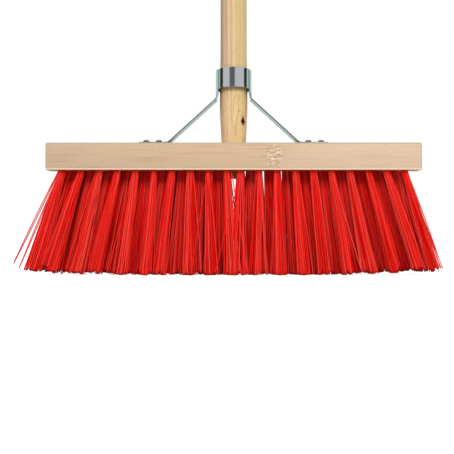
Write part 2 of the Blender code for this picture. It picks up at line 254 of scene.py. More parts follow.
def add_card(name, bearing, half_width, brightness):
    material, _, shader = new_material(name)
    shader.inputs["Base Color"].default_value = BLACK
    shader.inputs["Specular IOR Level"].default_value = 0.0
    shader.inputs["Emission Color"].default_value = WHITE
    shader.inputs["Emission Strength"].default_value = brightness
    feet = []
    for turn in (-half_width, half_width):
        angle = math.radians(bearing + turn)
        feet.append(Vector((math.sin(angle), -math.cos(angle), 0)) * CARD_DISTANCE)
    rise = UP * CARD_HEIGHT
    card = add_flat(name, material, [feet[0], feet[1], feet[1] + rise, feet[0] + rise])
    for rays in ("camera", "diffuse", "shadow", "transmission"):
        setattr(card, "visible_" + rays, False)


for card in CARDS:
    add_card(*card)

# %% [markdown]
# ## Beech
#
# The block is planed beech: close, pale, with fine brown streaks along it and the short dark
# flecks that tell beech from other pale woods. Both are noise that is stretched along the block,
# each at its real length and width. In the photograph the left end is a shade darker, and one
# patch right of the middle has a rippled figure where the grain dips: its wavy lines are painted
# dark as shade in the dips and pale as highlight on the crests. A band of painted shade darkens
# the rounded top edge a little, and a thin pale line of painted highlight runs along the sharp
# lower edge.

# %% Make the beech material
BEECH_TONES = ((0.1, "#C8AC91"), (0.75, "#CFB293"), (0.85, "#D4B99C"), (1.0, "#D8BDA2"))
# Length and width of a mark in the grain, its noise's detail, and where on the noise it comes up
BEECH_STREAK = (0.060, 0.0012), 4, (0.52, 0.70)
BEECH_FLECK = (0.0065, 0.0007), 1, (0.64, 0.74)
STREAK_STRENGTH = 0.42
FLECK_STRENGTH = 0.45
# Length and width of the slow drift in tone, and its share beside the drift along the block
BEECH_CLOUD = (0.16, 0.02)
CLOUD_SHARE = 0.35
# The ripple: its patch's place and reach, and the length, width and slant of its wavy lines
RIPPLE_PLACE = 0.0425
RIPPLE_REACH = (0.014, 0.018)
RIPPLE_WAVE = (0.0048, 0.0014)
RIPPLE_SLANT = math.radians(30)
# Where the patch starts and is full, in its reaches, and its strength
RIPPLE_PATCH = (1.0, 0.35)
RIPPLE_STRENGTH = 0.9
# Where on the noise the dips' painted shade and the crests' painted highlight start
# and are full
RIPPLE_LEVELS = ((0.54, 0.64), (0.46, 0.36))
# Bands along the block's edges, painted shade on the top one and a painted highlight on the lower
# one: where each is full, where it ends, and its strength
TOP_EDGE_SHADE_BAND = (0.0013, 0.0021), 0.9
LOW_EDGE_HIGHLIGHT_BAND = (0.0011, 0.0018), 0.95
# Height from an edge within which a place is on the flat face and not on the upright one
FACE_SKIN = 0.0001
GRAIN_DEPTH = 0.0003


def stretched_noise(tree, vector, along, size, detail):
    """Noise whose features are size[0] long on one axis and size[1] wide on the others."""
    scale = [1 / size[1]] * 3
    scale["XYZ".index(along)] = 1 / size[0]
    placed = add_node(tree, "ShaderNodeMapping", {"Vector": vector, "Scale": scale})
    noise = add_node(tree, "ShaderNodeTexNoise", {
        "Vector": placed.outputs[0], "Scale": 1.0, "Detail": detail, "Roughness": 0.6,
    })
    return noise.outputs["Fac"]


def marks(tree, vector, along, mark, strength):
    """The noise of a wood's marks, and the mask of the places where they show."""
    size, detail, comes_up = mark
    texture = stretched_noise(tree, vector, along, size, detail)
    mask = add_node(tree, "ShaderNodeMapRange", {
        "Value": texture, "From Min": comes_up[0], "From Max": comes_up[1], "To Max": strength,
    })
    return texture, mask.outputs["Result"]


def beech():
    material, tree, shader = new_material("planed_beech")
    place = add_node(tree, "ShaderNodeTexCoord").outputs["Object"]
    axis = add_node(tree, "ShaderNodeSeparateXYZ", {"Vector": place}).outputs
    tone = add_node(tree, "ShaderNodeMapRange", {
        "Value": axis["X"], "From Min": block_low.x, "From Max": block_high.x,
    }).outputs["Result"]
    cloud = stretched_noise(tree, place, "X", BEECH_CLOUD, 2)
    drift = add_node(tree, "ShaderNodeMath", {
        0: cloud, 1: CLOUD_SHARE, 2: tone,
    }, operation="MULTIPLY_ADD")
    base = add_node(tree, "ShaderNodeValToRGB", {"Fac": drift.outputs[0]})
    set_stops(base, BEECH_TONES)
    streak, streak_mask = marks(tree, place, "X", BEECH_STREAK, STREAK_STRENGTH)
    _, fleck_mask = marks(tree, place, "X", BEECH_FLECK, FLECK_STRENGTH)
    # The ripple's dips get painted shade and its crests painted highlight
    ripple_shade, ripple_highlight = ripple_masks(tree, place)
    # Painted shade along the rounded top edge
    top_edge_shade = edge_band(tree, axis["Z"], block_high.z, -1, *TOP_EDGE_SHADE_BAND)
    # A thin pale line of painted highlight along the sharp lower edge
    edge_or_end_mark = edge_band(tree, axis["Z"], block_low.z, 1, *LOW_EDGE_HIGHLIGHT_BAND)
    colour = base.outputs["Color"]
    # Grain colours first, then the painted shade and highlight of the ripple and the two edges
    for mask, brown in (
        (streak_mask, "#AD8A68"), (fleck_mask, "#94704E"), (ripple_shade, "#8A6645"), (ripple_highlight, "#E6D0B5"),
        (top_edge_shade, "#AC9E87"), (edge_or_end_mark, "#F4DDB8"),
    ):
        colour = add_node(tree, "ShaderNodeMix", {
            "Factor": mask, "A": colour, "B": linear(brown),
        }, data_type="RGBA").outputs["Result"]
    tree.links.new(colour, shader.inputs["Base Color"])
    rough = add_node(tree, "ShaderNodeMapRange", {"Value": streak, "To Min": 0.5, "To Max": 0.66})
    tree.links.new(rough.outputs["Result"], shader.inputs["Roughness"])
    height = add_node(tree, "ShaderNodeMath", {0: streak, 1: fleck_mask}, operation="SUBTRACT")
    bump = add_node(tree, "ShaderNodeBump", {
        "Height": height.outputs[0], "Strength": 0.25, "Distance": GRAIN_DEPTH,
    })
    tree.links.new(bump.outputs[0], shader.inputs["Normal"])
    return material


def edge_band(tree, height, edge, inward, band, strength):
    """A band just inside an edge of the block's upright faces, but not on its flat faces."""
    full, end = (edge + inward * reach for reach in band)
    near = add_node(tree, "ShaderNodeMapRange", {
        "Value": height, "From Min": end, "From Max": full, "To Max": strength,
    }).outputs["Result"]
    off_face = add_node(tree, "ShaderNodeMapRange", {
        "Value": height, "From Min": edge, "From Max": edge + inward * FACE_SKIN,
    }).outputs["Result"]
    return add_node(tree, "ShaderNodeMath", {0: near, 1: off_face}, operation="MULTIPLY").outputs[0]


def ripple_masks(tree, place):
    """Painted shade in the ripple's dips and painted highlight on its crests, in an oval patch."""
    centred = add_node(tree, "ShaderNodeMapping", {
        "Vector": place, "Location": (-RIPPLE_PLACE, 0, -block_middle.z),
    }).outputs[0]
    oval = add_node(tree, "ShaderNodeMapping", {
        "Vector": centred, "Scale": (1 / RIPPLE_REACH[0], 0, 1 / RIPPLE_REACH[1]),
    }).outputs[0]
    away = add_node(tree, "ShaderNodeVectorMath", {0: oval}, operation="LENGTH").outputs["Value"]
    patch = add_node(tree, "ShaderNodeMapRange", {
        "Value": away, "From Min": RIPPLE_PATCH[0], "From Max": RIPPLE_PATCH[1],
        "To Max": RIPPLE_STRENGTH,
    }).outputs["Result"]
    slanted = add_node(tree, "ShaderNodeMapping", {
        "Vector": centred, "Rotation": (0, RIPPLE_SLANT, 0),
        "Scale": (1 / RIPPLE_WAVE[0], 1, 1 / RIPPLE_WAVE[1]),
    }).outputs[0]
    wave = add_node(tree, "ShaderNodeTexNoise", {
        "Vector": slanted, "Scale": 1.0, "Detail": 1.0, "Distortion": 1.2,
    }).outputs["Fac"]
    masks = []
    for start, full in RIPPLE_LEVELS:
        line = add_node(tree, "ShaderNodeMapRange", {
            "Value": wave, "From Min": start, "From Max": full,
        })
        both = add_node(tree, "ShaderNodeMath", {
            0: patch, 1: line.outputs["Result"],
        }, operation="MULTIPLY")
        masks.append(both.outputs[0])
    return masks


planed_beech = beech()
print(planed_beech.name, "has", len(planed_beech.node_tree.nodes), "nodes")

# %% [markdown]
# ## Pine
#
# The handle is turned from pine, so its rings show as long stripes: a greyish one at the left, a
# salmon one beside it, cream in the middle and yellow at the right. The greyish one is partly
# painted shade, where the handle's left side turns away from the light. The stripes follow the
# handle's own axis, so the material first turns its coordinates by the lean. Below the ring the
# handle is cut nearer the heart of the wood, so its colour is warmer there and its lines flame.
# Round the knot they swerve, because the wood grew round a twig: each place near the knot reads
# the stripes from further out. The knot is a small dark diamond, drawn out upwards.

# %% Make the pine material
HANDLE_LEAN = math.radians(9)
PINE_STREAK = (0.060, 0.0011), 4, (0.48, 0.66)
PINE_CANAL = (0.0045, 0.0006), 1, (0.64, 0.72)
# Strength of those marks above the ring and below it
MARK_STRENGTHS = (0.35, 0.75)
# Length and width of the waves in the stripes and in the flames, and how far they go aside
STRIPE_WAVE, STRIPE_WAVER = (0.18, 0.006), 0.005
FLAME_WAVE, FLAME_WAVER = (0.03, 0.009), 0.012
RING_BAND = (0.084, 0.106)
HEART_SHARE = 0.55
# Place and reach of the knot on the handle, and how much the heights in its upper half count
KNOT_PLACE = (0.0099, 0.0369)
KNOT_REACH = (0.0017, 0.0037)
KNOT_DRAWN_OUT = 0.75
KNOT_SWERVE = 0.0035
# Where the swerve, the knot and its brown rim start and are full, in reaches of the knot
SWERVE_EDGE = (4.5, 0.6)
KNOT_EDGE = (1.2, 1.0)
RIM_EDGE = (2.0, 1.1)
RIM_STRENGTH = 0.85
# Below this distance under the block's middle, the handle's tip is painted red-brown: painted
# light, standing in for the red glow that the filaments throw on it
RED_LIGHT_TIP = 0.0145
RED_LIGHT_FADE = 0.002
RED_LIGHT_STRENGTH = 0.95
# Each stripe's place across the handle's front, in millimetres from its axis, and its colour; the
# darkest stop, at the left edge, is partly painted shade
PINE_STRIPES = (
    (-13.6, "#94816B"), (-11.8, "#B99A76"), (-9.6, "#CDB8A0"), (-7.6, "#C59C76"), (-5.4, "#D3C1A0"),
    (-3.2, "#C9A06C"), (-1.6, "#D0AE82"), (-0.4, "#DABA90"), (1.6, "#D8B98E"), (2.8, "#C9AE7A"),
    (6.8, "#CBB27C"), (8.4, "#D2BE7E"), (10.2, "#DAB88F"), (12.4, "#D2BA80"),
)


def knot_distance(tree, aside, above):
    """How far a place is from the knot's middle, in reaches of its diamond shape."""
    drawn_out = add_node(tree, "ShaderNodeMath", {
        0: above, 1: KNOT_DRAWN_OUT,
    }, operation="MULTIPLY").outputs[0]
    above = add_node(tree, "ShaderNodeMath", {
        0: above, 1: drawn_out,
    }, operation="MINIMUM").outputs[0]
    offset = add_node(tree, "ShaderNodeCombineXYZ", {"X": aside, "Z": above}).outputs[0]
    oval = add_node(tree, "ShaderNodeVectorMath", {
        0: offset, 1: (1 / KNOT_REACH[0], 0, 1 / KNOT_REACH[1]),
    }, operation="MULTIPLY").outputs[0]
    oval = add_node(tree, "ShaderNodeVectorMath", {0: oval}, operation="ABSOLUTE").outputs[0]
    return add_node(tree, "ShaderNodeVectorMath", {
        0: oval, 1: (1, 1, 1),
    }, operation="DOT_PRODUCT").outputs["Value"]


def pine():
    material, tree, shader = new_material("turned_pine")
    place = add_node(tree, "ShaderNodeTexCoord").outputs["Object"]
    centred = add_node(tree, "ShaderNodeVectorMath", {
        0: place, 1: block_middle,
    }, operation="SUBTRACT")
    upright = add_node(tree, "ShaderNodeVectorRotate", {
        "Vector": centred.outputs[0], "Angle": HANDLE_LEAN,
    }, rotation_type="X_AXIS").outputs[0]
    axis = add_node(tree, "ShaderNodeSeparateXYZ", {"Vector": upright}).outputs
    aside = add_node(tree, "ShaderNodeMath", {
        0: axis["X"], 1: KNOT_PLACE[0],
    }, operation="SUBTRACT").outputs[0]
    above = add_node(tree, "ShaderNodeMath", {
        0: axis["Z"], 1: KNOT_PLACE[1],
    }, operation="SUBTRACT").outputs[0]
    in_front = add_node(tree, "ShaderNodeMath", {
        0: axis["Y"], 1: 0.0,
    }, operation="LESS_THAN").outputs[0]
    away = knot_distance(tree, aside, above)

    # The grain's own coordinates, pulled aside round the knot
    near = add_node(tree, "ShaderNodeMapRange", {
        "Value": away, "From Min": SWERVE_EDGE[0], "From Max": SWERVE_EDGE[1],
    }, interpolation_type="SMOOTHSTEP").outputs["Result"]
    side = add_node(tree, "ShaderNodeMath", {0: aside}, operation="SIGN").outputs[0]
    pull = add_node(tree, "ShaderNodeMath", {0: near, 1: side}, operation="MULTIPLY").outputs[0]
    pull = add_node(tree, "ShaderNodeMath", {0: pull, 1: in_front}, operation="MULTIPLY").outputs[0]
    grain_x = add_node(tree, "ShaderNodeMath", {
        0: pull, 1: -KNOT_SWERVE, 2: axis["X"],
    }, operation="MULTIPLY_ADD").outputs[0]
    grain = add_node(tree, "ShaderNodeCombineXYZ", {
        "X": grain_x, "Y": axis["Y"], "Z": axis["Z"],
    }).outputs[0]

    # The stripes, whose noise is a half on average, so half its reach is taken off again
    wave = stretched_noise(tree, grain, "Z", STRIPE_WAVE, 2)
    stripe_x = add_node(tree, "ShaderNodeMath", {
        0: wave, 1: STRIPE_WAVER, 2: grain_x,
    }, operation="MULTIPLY_ADD")
    first, last = PINE_STRIPES[0][0] / 1000, PINE_STRIPES[-1][0] / 1000
    across = add_node(tree, "ShaderNodeMapRange", {
        "Value": stripe_x.outputs[0],
        "From Min": first + STRIPE_WAVER / 2, "From Max": last + STRIPE_WAVER / 2,
    }).outputs["Result"]
    stripes = add_node(tree, "ShaderNodeValToRGB", {"Fac": across})
    set_stops(stripes, [
        ((mm / 1000 - first) / (last - first), colour) for mm, colour in PINE_STRIPES
    ])

    # Below the ring the wood is warmer, its marks are stronger, and its lines flame
    below = add_node(tree, "ShaderNodeMapRange", {
        "Value": axis["Z"], "From Min": RING_BAND[1], "From Max": RING_BAND[0],
    }).outputs["Result"]
    heart = add_node(tree, "ShaderNodeMath", {
        0: below, 1: HEART_SHARE,
    }, operation="MULTIPLY").outputs[0]
    flame = add_node(tree, "ShaderNodeMath", {
        0: stretched_noise(tree, grain, "Z", FLAME_WAVE, 2), 1: FLAME_WAVER, 2: grain_x,
    }, operation="MULTIPLY_ADD").outputs[0]
    flame = add_node(tree, "ShaderNodeCombineXYZ", {
        "X": flame, "Y": axis["Y"], "Z": axis["Z"],
    }).outputs[0]
    strength = add_node(tree, "ShaderNodeMapRange", {
        "Value": below, "To Min": MARK_STRENGTHS[0], "To Max": MARK_STRENGTHS[1],
    }).outputs["Result"]
    streak, streak_mask = marks(tree, flame, "Z", PINE_STREAK, strength)
    _, canal_mask = marks(tree, flame, "Z", PINE_CANAL, strength)

    # The knot with its brown rim, and the tip's painted red glow from the filaments
    knot = add_node(tree, "ShaderNodeMapRange", {
        "Value": away, "From Min": KNOT_EDGE[0], "From Max": KNOT_EDGE[1],
    }).outputs["Result"]
    knot = add_node(tree, "ShaderNodeMath", {0: knot, 1: in_front}, operation="MULTIPLY").outputs[0]
    rim = add_node(tree, "ShaderNodeMapRange", {
        "Value": away, "From Min": RIM_EDGE[0], "From Max": RIM_EDGE[1], "To Max": RIM_STRENGTH,
    }).outputs["Result"]
    rim = add_node(tree, "ShaderNodeMath", {0: rim, 1: in_front}, operation="MULTIPLY").outputs[0]
    # Painted red light on the handle's tip, from the filaments round it
    tip = add_node(tree, "ShaderNodeMapRange", {
        "Value": axis["Z"], "From Min": -RED_LIGHT_TIP, "From Max": -RED_LIGHT_TIP - RED_LIGHT_FADE,
        "To Max": RED_LIGHT_STRENGTH,
    }).outputs["Result"]
    dull = add_node(tree, "ShaderNodeMath", {0: tip, 1: knot}, operation="MAXIMUM").outputs[0]
    dulled = add_node(tree, "ShaderNodeMapRange", {"Value": dull, "To Min": 0.5, "To Max": 0.1})
    tree.links.new(dulled.outputs["Result"], shader.inputs["Specular IOR Level"])
    colour = stripes.outputs["Color"]
    for mask, brown in (
        (heart, "#E6C592"), (tip, "#CC5A30"), (streak_mask, "#B58A57"), (canal_mask, "#8C6236"),
        (rim, "#A8641F"), (knot, "#240B02"),
    ):
        colour = add_node(tree, "ShaderNodeMix", {
            "Factor": mask, "A": colour, "B": linear(brown),
        }, data_type="RGBA").outputs["Result"]
    tree.links.new(colour, shader.inputs["Base Color"])
    rough = add_node(tree, "ShaderNodeMapRange", {"Value": streak, "To Min": 0.36, "To Max": 0.52})
    tree.links.new(rough.outputs["Result"], shader.inputs["Roughness"])
    bump = add_node(tree, "ShaderNodeBump", {
        "Height": streak, "Strength": 0.2, "Distance": GRAIN_DEPTH,
    })
    tree.links.new(bump.outputs[0], shader.inputs["Normal"])
    return material


turned_pine = pine()
print(turned_pine.name, "has", len(turned_pine.node_tree.nodes), "nodes")

# %% [markdown]
# ## Zinc plate
#
# Bright zinc is a metal with a thin passivated skin, which tints its reflections. On this stay
# the tint turns from a neutral grey on the front of the ring to a faint green on its sides and
# the arms, and drifts a little from place to place. Rolling leaves fine lines along the strip,
# too fine to show here, so they only roughen the mirror a little, in soft patches.

# %% Make the zinc and screw materials
ZINC_PATCH = 0.03
# Distance from the handle's middle at which the tint starts to turn green, and where it has
ZINC_TURN = (0.013, 0.0165)
# Places of the four tints on the scale that the turn and the patches add up to, and their shares
TINT_PLACES = (0.14, 0.28, 0.62, 0.78)
TURN_SHARE = 0.5
PATCH_SHARE = 0.4
PLATING_GRAIN = 0.0009
PLATING_DEPTH = 0.0001


def plated_steel(name, tints, roughness):
    material, tree, shader = new_material(name)
    shader.inputs["Metallic"].default_value = 1.0
    place = add_node(tree, "ShaderNodeTexCoord").outputs["Object"]
    patch = add_node(tree, "ShaderNodeTexNoise", {
        "Vector": place, "Scale": 1 / ZINC_PATCH, "Detail": 2.0,
    }).outputs["Fac"]
    across = add_node(tree, "ShaderNodeSeparateXYZ", {"Vector": place}).outputs["X"]
    apart = add_node(tree, "ShaderNodeMath", {0: across}, operation="ABSOLUTE").outputs[0]
    green = add_node(tree, "ShaderNodeMapRange", {
        "Value": apart, "From Min": ZINC_TURN[0], "From Max": ZINC_TURN[1], "To Max": TURN_SHARE,
    }).outputs["Result"]
    tone = add_node(tree, "ShaderNodeMath", {
        0: patch, 1: PATCH_SHARE, 2: green,
    }, operation="MULTIPLY_ADD")
    tint = add_node(tree, "ShaderNodeValToRGB", {"Fac": tone.outputs[0]})
    set_stops(tint, tuple(zip(TINT_PLACES, tints)))
    tree.links.new(tint.outputs["Color"], shader.inputs["Base Color"])
    grain = add_node(tree, "ShaderNodeTexNoise", {
        "Vector": place, "Scale": 1 / PLATING_GRAIN, "Detail": 3.0,
    }).outputs["Fac"]
    rough = add_node(tree, "ShaderNodeMapRange", {
        "Value": grain, "To Min": roughness - 0.06, "To Max": roughness + 0.08,
    })
    tree.links.new(rough.outputs["Result"], shader.inputs["Roughness"])
    bump = add_node(tree, "ShaderNodeBump", {
        "Height": grain, "Strength": 0.08, "Distance": PLATING_DEPTH,
    })
    tree.links.new(bump.outputs[0], shader.inputs["Normal"])
    return material


bright_zinc = plated_steel("bright_zinc_plate", ("#B3B4BB", "#ACB8B5", "#A3BCB3", "#A0B8B8"), 0.12)
screw_zinc = plated_steel("dull_zinc_plate", ("#8E938F", "#A3A39C", "#98978C", "#8A8F88"), 0.3)
print(bright_zinc.name, "has", len(bright_zinc.node_tree.nodes), "nodes")

# %% [markdown]
# ## Filament
#
# The bristles are drawn plastic filament, dyed right through. Seen from the front they are a
# clear bright red. No two take the light quite alike, so each strand carries a random number
# that shifts its shade, and its cut end is dark.

# %% Make the bristle material
FILAMENT_REDS = ((0.0, "#E00E0A"), (0.5, "#F6261E"), (1.0, "#FF5046"))
# How far light of each colour travels inside the plastic
FILAMENT_GLOW = (0.0015, 0.0002, 0.0002)
# Length and width of the lines that drawing leaves on a filament
DRAW_LINES = (0.02, 0.0008)
# Shares of a strand's length between which its end turns dark, and how dark it gets
CUT_END = (0.98, 1.0)
CUT_STRENGTH = 0.85


def red_filament():
    material, tree, shader = new_material("red_drawn_filament")
    shade = add_node(tree, "ShaderNodeAttribute", attribute_name="shade").outputs["Fac"]
    along = add_node(tree, "ShaderNodeAttribute", attribute_name="along").outputs["Fac"]
    place = add_node(tree, "ShaderNodeTexCoord").outputs["Object"]
    reds = add_node(tree, "ShaderNodeValToRGB", {"Fac": shade})
    set_stops(reds, FILAMENT_REDS)
    edge_or_end_mark = add_node(tree, "ShaderNodeMapRange", {
        "Value": along, "From Min": CUT_END[0], "From Max": CUT_END[1], "To Max": CUT_STRENGTH,
    }).outputs["Result"]
    colour = add_node(tree, "ShaderNodeMix", {
        "Factor": edge_or_end_mark, "A": reds.outputs["Color"], "B": linear("#6E0808"),
    }, data_type="RGBA").outputs["Result"]
    tree.links.new(colour, shader.inputs["Base Color"])
    lines = stretched_noise(tree, place, "Z", DRAW_LINES, 1)
    rough = add_node(tree, "ShaderNodeMapRange", {"Value": lines, "To Min": 0.4, "To Max": 0.6})
    tree.links.new(rough.outputs["Result"], shader.inputs["Roughness"])
    shader.inputs["IOR"].default_value = 1.49
    shader.inputs["Specular IOR Level"].default_value = 0.06
    shader.inputs["Subsurface Weight"].default_value = 0.5
    shader.inputs["Subsurface Radius"].default_value = FILAMENT_GLOW
    shader.inputs["Subsurface Scale"].default_value = 1.0
    return material


filament = red_filament()
print("materials:", len(bpy.data.materials))

# %% [markdown]
# ## Turned and drilled pieces
#
# The frame's own pieces have few faces, so round ones would show their facets in a reflection.
# The handle, the stay and the block are made again at the same sizes with more faces and softened
# edges. A turned piece is a profile spun about its axis. A profile is a short list of radii and
# heights, as a turner would mark them on the lathe.

# %% Helpers for turned meshes
SHARP_ANGLE = math.radians(32)
# Points closer than this are one point
SAME_PLACE = 0.000001


def turned_mesh(name, profile, sides, placed=Matrix.Identity(4)):
    """Spins (radius, height) points about Z, then moves the shape to its place."""
    bm = bmesh.new()
    points = [bm.verts.new((radius, 0, height)) for radius, height in profile]
    edges = [bm.edges.new(pair) for pair in zip(points, points[1:])]
    bmesh.ops.spin(
        bm, geom=points + edges, axis=UP, angle=math.tau, steps=sides, use_merge=True,
    )
    bmesh.ops.remove_doubles(bm, verts=bm.verts, dist=SAME_PLACE)
    bmesh.ops.recalc_face_normals(bm, faces=bm.faces)
    bmesh.ops.transform(bm, matrix=placed, verts=bm.verts)
    return finished_mesh(name, bm)


def smoothed(mesh, sharp=SHARP_ANGLE):
    """Shades a mesh smooth but for its sharp edges."""
    mesh.shade_smooth()
    mesh.set_sharp_from_angle(angle=sharp)
    return mesh


def finished_mesh(name, bm):
    """Turns a bmesh into a smoothly shaded mesh."""
    mesh = bpy.data.meshes.new(name)
    bm.to_mesh(mesh)
    bm.free()
    return smoothed(mesh)


def add_object(name, mesh, material=None):
    piece = bpy.data.objects.new(name, mesh)
    if material:
        mesh.materials.clear()
        mesh.materials.append(material)
    bpy.context.scene.collection.objects.link(piece)
    return piece


def applied(piece):
    """Replaces a piece's mesh by the result of its modifiers."""
    shapes = bpy.context.evaluated_depsgraph_get()
    mesh = bpy.data.meshes.new_from_object(piece.evaluated_get(shapes))
    piece.modifiers.clear()
    piece.data = mesh
    return mesh


def boolean(piece, other, operation):
    step = piece.modifiers.new(other.name, "BOOLEAN")
    step.operation = operation
    step.object = other
    mesh = applied(piece)
    bpy.data.objects.remove(other)
    smoothed(mesh)


def finish_piece(piece, *nodes):
    """Hands a finished piece to the frame, in place of the CAD nodes it stands for."""
    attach(piece, "root")
    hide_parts(*nodes)
    print(piece.name, "has", len(piece.data.polygons), "faces")


# %% [markdown]
# ## The handle
#
# The handle's axis crosses the middle of the block and leans to the back. The profile runs from
# the rounded top, down the straight shaft, over the slight swell at the ring, and down the taper
# that wedges it in the block.

# %% Turn the handle
HANDLE_LENGTH = 1.400
HANDLE_RADIUS = 0.0142
HANDLE_SWELL_RADIUS = 0.0149
HANDLE_NECK_RADIUS = 0.0131
HANDLE_TIP_RADIUS = 0.0109
HANDLE_TIP_PROUD = 0.0075
HANDLE_TIP_CHAMFER = 0.0010
HANDLE_CROWN = 0.007
NECK_RISE = 0.035
SWELL_RISE = 0.060
SWELL_FADE_RISE = 0.100
CROWN_STEPS = 10
HANDLE_SIDES = 96

on_handle = Matrix.Translation(block_middle) @ Matrix.Rotation(-HANDLE_LEAN, 4, "X")
top_along = block_size.z / 2 / math.cos(HANDLE_LEAN)
tip_along = -top_along - HANDLE_TIP_PROUD
rim_along = tip_along + HANDLE_LENGTH - HANDLE_CROWN


def handle_profile():
    turns = [math.pi / 2 * step / CROWN_STEPS for step in range(CROWN_STEPS + 1)]
    crown = [
        (HANDLE_RADIUS * math.sin(turn), rim_along + HANDLE_CROWN * math.cos(turn))
        for turn in turns
    ]
    return crown + [
        (HANDLE_RADIUS, top_along + SWELL_FADE_RISE),
        (HANDLE_SWELL_RADIUS, top_along + SWELL_RISE),
        (HANDLE_SWELL_RADIUS, top_along + NECK_RISE),
        (HANDLE_NECK_RADIUS, top_along),
        (HANDLE_TIP_RADIUS, tip_along + HANDLE_TIP_CHAMFER),
        (HANDLE_TIP_RADIUS - HANDLE_TIP_CHAMFER, tip_along),
        (0, tip_along),
    ]


handle_mesh = turned_mesh("wooden_handle", handle_profile(), HANDLE_SIDES, on_handle)
handle = add_object("wooden_handle", handle_mesh, turned_pine)
finish_piece(handle, "handle")

# %% [markdown]
# ## The tufts' places
#
# A row has its tufts at an even pitch, with its middle left free for the handle's tip. The inner
# rows stand half a pitch aside, so that from the front each dark tuft behind fills the gap between
# two bright ones. Every tuft leans outwards, the end ones the most, and that is what makes the
# brush wider at the ground than at the block. The filaments all have one length, so the tips of
# the end tufts lie a little higher. Trimming levels only the middle.

# %% Work out the tufts
FILAMENT_LENGTH = 0.1125
TUFT_END_MARGIN = 0.0185
MIDDLE_TUFT_GAP = 0.0152
TUFTS_PER_SIDE = 10
# Each row's distance from the block's middle, its lean at the tips and its shift along the block
OUTER_ROW = (0.0215, 0.0175, 0.0)
INNER_ROW = (0.0075, 0.0055, 0.0003)
END_TUFT_SPLAY = 0.0290
tuft_pitch = ((block_size.x - MIDDLE_TUFT_GAP) / 2 - TUFT_END_MARGIN) / (TUFTS_PER_SIDE - 1)
last_column = MIDDLE_TUFT_GAP / 2 + tuft_pitch * (TUFTS_PER_SIDE - 1)


def hang(along, across):
    """The lean from root to tip: all filaments have one length, so a leaning one drops less."""
    return Vector((along, across, -min(block_low.z, math.sqrt(FILAMENT_LENGTH**2 - along**2))))


def row_tufts(side, row, first, count):
    """(Root, lean to the tip) of each tuft of a row, from the underside down to the floor."""
    offset, splay, shift = row
    tufts = []
    for k in range(count):
        for hand in (-1, 1):
            x = hand * (first + tuft_pitch * k) + shift
            root = Vector((x, block_middle.y + side * offset, block_low.z))
            tufts.append((root, hang(x / last_column * END_TUFT_SPLAY, side * splay)))
    return sorted(tufts, key=lambda tuft: tuft[0].x)


outer_first = MIDDLE_TUFT_GAP / 2
inner_first = (MIDDLE_TUFT_GAP + tuft_pitch) / 2
rows = {
    "front_bristles": row_tufts(-1, OUTER_ROW, outer_first, TUFTS_PER_SIDE),
    "inner_front_bristles": row_tufts(-1, INNER_ROW, inner_first, TUFTS_PER_SIDE - 1),
    "inner_back_bristles": row_tufts(1, INNER_ROW, inner_first, TUFTS_PER_SIDE - 1),
    "back_bristles": row_tufts(1, OUTER_ROW, outer_first, TUFTS_PER_SIDE),
}
print("tufts:", sum(len(row) for row in rows.values()))

# %% [markdown]
# ## The block
#
# The block starts as a box. Its top edges are rounded for the hand, and the lower ones are left
# almost as sawn, so each edge carries its own weight for Bevel. Booleans then drill it as a machine
# would: a blind hole for each tuft on the tuft's own slant, pilot holes for the screws,
# and the tapered hole that the handle is driven into.

# %% Drill the block
EDGE_ROUND = 0.0024
EDGE_STEPS = 4
# Shares of that rounding on the lower edges, the ends' upright edges and the top edges
EDGE_WEIGHTS = (0.25, 0.5, 1.0)
HOLE_RADIUS = 0.0047
HOLE_DEPTH = 0.014
HOLE_SIDES = 20
CUT_OVERRUN = 0.004
FIT = 0.0003
PILOT_RADIUS = 0.0021
PILOT_DEPTH = 0.0145
FOOT_SCREW_REACHES = (0.0805, 0.0941)


def add_rod(bm, radius, bottom, top):
    """A closed slanted cylinder with level ends."""
    rise = top - bottom
    middle = (top + bottom) / 2
    slanted = Matrix((
        (radius, 0, rise.x, middle.x),
        (0, radius, rise.y, middle.y),
        (0, 0, rise.z, middle.z),
        (0, 0, 0, 1),
    ))
    bmesh.ops.create_cone(
        bm, cap_ends=True, segments=HOLE_SIDES, radius1=1, radius2=1, depth=1, matrix=slanted
    )


def foot_screws(height):
    """The four places, at a height, where screws hold the feet."""
    return [
        Vector((hand * reach, block_middle.y, height))
        for hand in (-1, 1) for reach in FOOT_SCREW_REACHES
    ]


def plain_block():
    bm = bmesh.new()
    placed = Matrix.Translation(block_middle) @ Matrix.Diagonal((*block_size, 1))
    bmesh.ops.create_cube(bm, size=1, matrix=placed)
    weights = bm.edges.layers.float.new("bevel_weight_edge")
    for edge in bm.edges:
        tops = sum(vert.co.z > block_middle.z for vert in edge.verts)
        edge[weights] = EDGE_WEIGHTS[tops]
    block = add_object("beech_block", finished_mesh("beech_block", bm), planed_beech)
    edges = block.modifiers.new("rounded_edges", "BEVEL")
    edges.limit_method = "WEIGHT"
    edges.width = EDGE_ROUND
    edges.segments = EDGE_STEPS
    applied(block)
    return block


